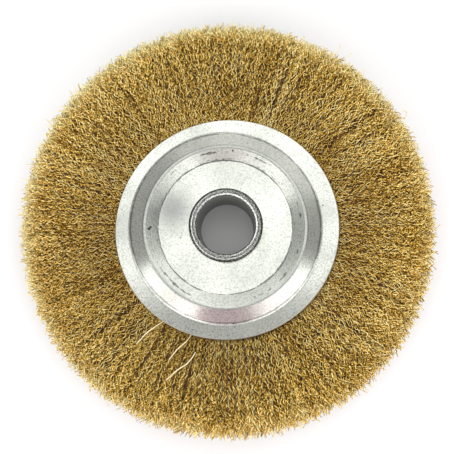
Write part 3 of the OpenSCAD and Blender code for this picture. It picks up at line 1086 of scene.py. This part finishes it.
class MakeWires(bpy.types.Operator):
    """Lays the crimped wires of both faces and of the rim"""

    bl_idname = "wire_wheel.make_wires"
    bl_label = "Make Wires"

    def execute(self, context):
        sizes = context.scene.wheel_wires
        finish = finishes(context.scene.wheel_colours)["brassed_wire"]
        tree = wire_tree()
        shared = {
            "Wheel radius": sizes.wheel_radius,
            "Crown": sizes.crown,
            "Face height": sizes.face_height,
            "Widest radius": sizes.widest_radius,
            "Flange radius": sizes.flange_radius,
            "Flange height": sizes.flange_height,
            "Wire diameter": sizes.wire_diameter,
            "Crimp height": sizes.crimp_height,
            "Crimp step": sizes.crimp_step,
            "Tip scatter": sizes.tip_scatter,
            "Run-out": sizes.run_out,
            "Parting width": sizes.parting_width,
            "Finish": finish,
        }
        for seed, (name, row) in enumerate(WIRE_GROUPS.items(), start=1):
            wires, bends, first, spread, low, high, rise = row
            own = {
                "Wires": wires,
                "Bends": bends,
                "Seed": seed,
                "First radius": first * MM,
                "First spread": spread * MM,
                "Low level": low,
                "High level": high,
                "Rise": rise,
            }
            keep(grow(name, tree, {**shared, **own}), "wire_bundles")
        return {"FINISHED"}


class MakeLooseWires(bpy.types.Operator):
    """Draws the few wires that have come loose, pale because they are not crimped"""

    bl_idname = "wire_wheel.make_loose_wires"
    bl_label = "Make Loose Wires"

    def execute(self, context):
        curve = bpy.data.curves.new("loose_wires", "CURVE")
        curve.dimensions = "3D"
        curve.bevel_depth = context.scene.wheel_wires.wire_diameter * 0.6
        curve.bevel_resolution = 1
        curve.resolution_u = 5
        curve.use_fill_caps = True
        for places in LOOSE_WIRES:
            spline = curve.splines.new("NURBS")
            spline.points.add(len(places) - 1)
            for point, (x, y, z) in zip(spline.points, places):
                point.co = (x * MM, y * MM, z * MM, 1)
            spline.order_u = 3
            spline.use_endpoint_u = True
        drawn = bpy.data.objects.new("loose_wires", curve)
        context.scene.collection.objects.link(drawn)
        mesh = bpy.data.meshes.new_from_object(drawn.evaluated_get(context.evaluated_depsgraph_get()))
        bpy.data.objects.remove(drawn)
        mesh.materials.clear()
        finish = finishes(context.scene.wheel_colours)["loose_wire"]
        keep(new_piece("loose_wires", mesh, finish), "wire_bundles")
        return {"FINISHED"}


class MakeCore(bpy.types.Operator):
    """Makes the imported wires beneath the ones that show"""

    bl_idname = "wire_wheel.make_core"
    bl_label = "Make Core"

    def execute(self, context):
        mesh = lathe("packed_wires", core_outline(context.scene.wheel_wires), 240)
        finish = finishes(context.scene.wheel_colours)["shaded_wire"]
        keep(new_piece("packed_wires", mesh, finish), "wire_bundles")
        return {"FINISHED"}


class MakePlates(bpy.types.Operator):
    """Presses the two plates"""

    bl_idname = "wire_wheel.make_plates"
    bl_label = "Make Plates"

    def execute(self, context):
        sizes = context.scene.wheel_plates
        finish = finishes(context.scene.wheel_colours)["zinc_plate"]
        for name, node, side in (
            ("front_plate_pressed", "front_plate", 1),
            ("rear_plate_pressed", "rear_plate", -1),
        ):
            mesh = lathe(name, plate_outline(sizes), 288, side)
            out_of_true(mesh, sizes)
            keep(new_piece(name, mesh, finish), node)
        return {"FINISHED"}


class MakeHub(bpy.types.Operator):
    """Makes the tube with its rolled ends, and finishes the ring in the wires"""

    bl_idname = "wire_wheel.make_hub"
    bl_label = "Make Hub"

    def execute(self, context):
        ready = finishes(context.scene.wheel_colours)
        mesh = lathe("hub_tube_rolled", hub_outline(context.scene.wheel_hub), 192)
        keep(new_piece("hub_tube_rolled", mesh, ready["hub_steel"]), "hub_tube")
        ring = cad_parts["retaining_ring"]
        ring.data.materials.clear()
        ring.data.materials.append(ready["ring_steel"])
        return {"FINISHED"}


class MakeStudio(bpy.types.Operator):
    """Sets up the floor, the lamps, the room and the camera"""

    bl_idname = "wire_wheel.make_studio"
    bl_label = "Make Studio"

    def execute(self, context):
        scene = context.scene
        sizes = scene.wheel_studio
        self.lay_floor(scene)
        self.hang_lamp(scene, "overhead", sizes.overhead_level, (0.0, 0.13, 0.497), (0.68, 0.53))
        for name, angle in (("low_left", 225), ("low_right", 315)):
            direction = math.radians(angle)
            reach = 0.43
            place = (reach * math.cos(direction), reach * math.sin(direction), 0.26)
            self.hang_lamp(scene, name, sizes.low_level, place, (0.42, 0.44))
        self.paint_room(scene, sizes)
        self.place_camera(scene, sizes)
        scene.view_settings.view_transform = "Standard"
        return {"FINISHED"}

    def lay_floor(self, scene):
        """A sheet of paper that the wheel lies on."""
        half = 3.0
        mesh = bpy.data.meshes.new("floor")
        corners = [(-half, -half), (half, -half), (half, half), (-half, half)]
        mesh.from_pydata([(x, y, tube_low.z) for x, y in corners], [], [(0, 1, 2, 3)])
        paper = white_paper(scene.wheel_colours, scene.wheel_studio.paper_glow, scene.wheel_hub.bore_radius)
        new_piece("floor", mesh, paper)

    def hang_lamp(self, scene, name, level, place, size):
        """A soft box that faces the wheel and looks as bright as the level."""
        lamp = bpy.data.lights.new(name, "AREA")
        lamp.shape = "RECTANGLE"
        lamp.size, lamp.size_y = size
        lamp.energy = level * math.pi * size[0] * size[1]
        holder = bpy.data.objects.new(name, lamp)
        holder.location = place
        holder.rotation_euler = Vector(place).to_track_quat("Z", "Y").to_euler()
        holder.visible_camera = False
        scene.collection.objects.link(holder)

    def paint_room(self, scene, sizes):
        """Light from the room: lighter at the back and right, pale near the floor's far edge."""
        world = bpy.data.worlds.new("Room")
        world.use_nodes = True
        tree = world.node_tree
        tree.nodes.clear()
        direction = add(tree, "ShaderNodeTexCoord").outputs["Generated"]
        towards = add(tree, "ShaderNodeVectorMath", [direction, (0.34, 0.94, 0)], operation="DOT_PRODUCT")
        level = add(
            tree,
            "ShaderNodeMapRange",
            {
                "Value": towards.outputs["Value"],
                "From Min": 0.38,
                "From Max": 0.85,
                "To Min": sizes.room_level,
                "To Max": sizes.window_level,
            },
            interpolation_type="SMOOTHSTEP",
        )
        sides = add(tree, "ShaderNodeSeparateXYZ", [direction]).outputs
        pale = (0.95, 0.95, 0.95, 1)
        # At the near side there is a pale strip above the gap between the boxes
        strip = add(tree, "ShaderNodeMapRange", {"Value": sides["Y"], "From Min": -0.4, "From Max": -0.48})
        lit = add(tree, "ShaderNodeMix", {"Factor": strip, "A": level, "B": pale}, data_type="RGBA")
        gap = add(tree, "ShaderNodeMapRange", {"Value": sides["Y"], "From Min": -0.57, "From Max": -0.65})
        walls = add(
            tree,
            "ShaderNodeMix",
            {"Factor": gap, "A": lit, "B": scene.wheel_colours.room_gap},
            data_type="RGBA",
        )
        low = add(tree, "ShaderNodeMapRange", {"Value": sides["Z"], "From Min": 0.2, "From Max": 0.06})
        room = add(tree, "ShaderNodeMix", {"Factor": low, "A": walls, "B": pale}, data_type="RGBA")
        seen = add(tree, "ShaderNodeLightPath").outputs["Is Camera Ray"]
        shown = add(tree, "ShaderNodeMix", {"Factor": seen, "A": room, "B": pale}, data_type="RGBA")
        shade = add(tree, "ShaderNodeBackground", {"Color": shown, "Strength": sizes.room_strength})
        add(tree, "ShaderNodeOutputWorld", [shade])
        scene.world = world

    def place_camera(self, scene, sizes):
        """A camera above the wheel, a little towards its near side, that looks at the plate."""
        camera = bpy.data.cameras.new("camera")
        camera.lens = sizes.lens
        camera.clip_start = 0.01
        holder = bpy.data.objects.new("camera", camera)
        holder.location = (sizes.camera_x, sizes.camera_y, sizes.camera_height)
        away = (holder.location - Vector((sizes.aim_x, sizes.aim_y, sizes.aim_height))).normalized()
        holder.rotation_euler = (math.asin(-away.y), math.atan2(away.x, away.z), 0)
        scene.collection.objects.link(holder)
        scene.camera = holder


class WheelPanel(bpy.types.Panel):
    """Lists the operators that make the wheel"""

    bl_idname = "VIEW3D_PT_wire_wheel"
    bl_label = "Wire Wheel"
    bl_space_type = "VIEW_3D"
    bl_region_type = "UI"
    bl_category = "Wire Wheel"

    def draw(self, context):
        for maker in MAKERS:
            self.layout.operator(maker.bl_idname)
        for group in GROUPS:
            values = getattr(context.scene, group)
            for key in values.bl_rna.properties.keys():
                if key not in ("rna_type", "name"):
                    self.layout.prop(values, key)


MAKERS = (MakeStudio, MakePlates, MakeHub, MakeCore, MakeWires, MakeLooseWires)
GROUPS = {
    "wheel_wires": WireSizes,
    "wheel_plates": PlateSizes,
    "wheel_hub": HubSizes,
    "wheel_colours": FinishColours,
    "wheel_studio": StudioSizes,
}


def register():
    """Registers the classes and hangs the property groups on the scene."""
    for kind in (*GROUPS.values(), *MAKERS, WheelPanel):
        bpy.utils.register_class(kind)
    for name, kind in GROUPS.items():
        setattr(bpy.types.Scene, name, bpy.props.PointerProperty(type=kind))


def unregister():
    """Takes the property groups off the scene and unregisters the classes."""
    for name in GROUPS:
        delattr(bpy.types.Scene, name)
    for kind in reversed((*GROUPS.values(), *MAKERS, WheelPanel)):
        bpy.utils.unregister_class(kind)


def main():
    """Makes the wheel and its studio."""
    register()
    bpy.ops.wire_wheel.make_studio()
    bpy.ops.wire_wheel.make_plates()
    bpy.ops.wire_wheel.make_hub()
    bpy.ops.wire_wheel.make_core()
    bpy.ops.wire_wheel.make_wires()
    bpy.ops.wire_wheel.make_loose_wires()


if __name__ == "__main__":
    main()
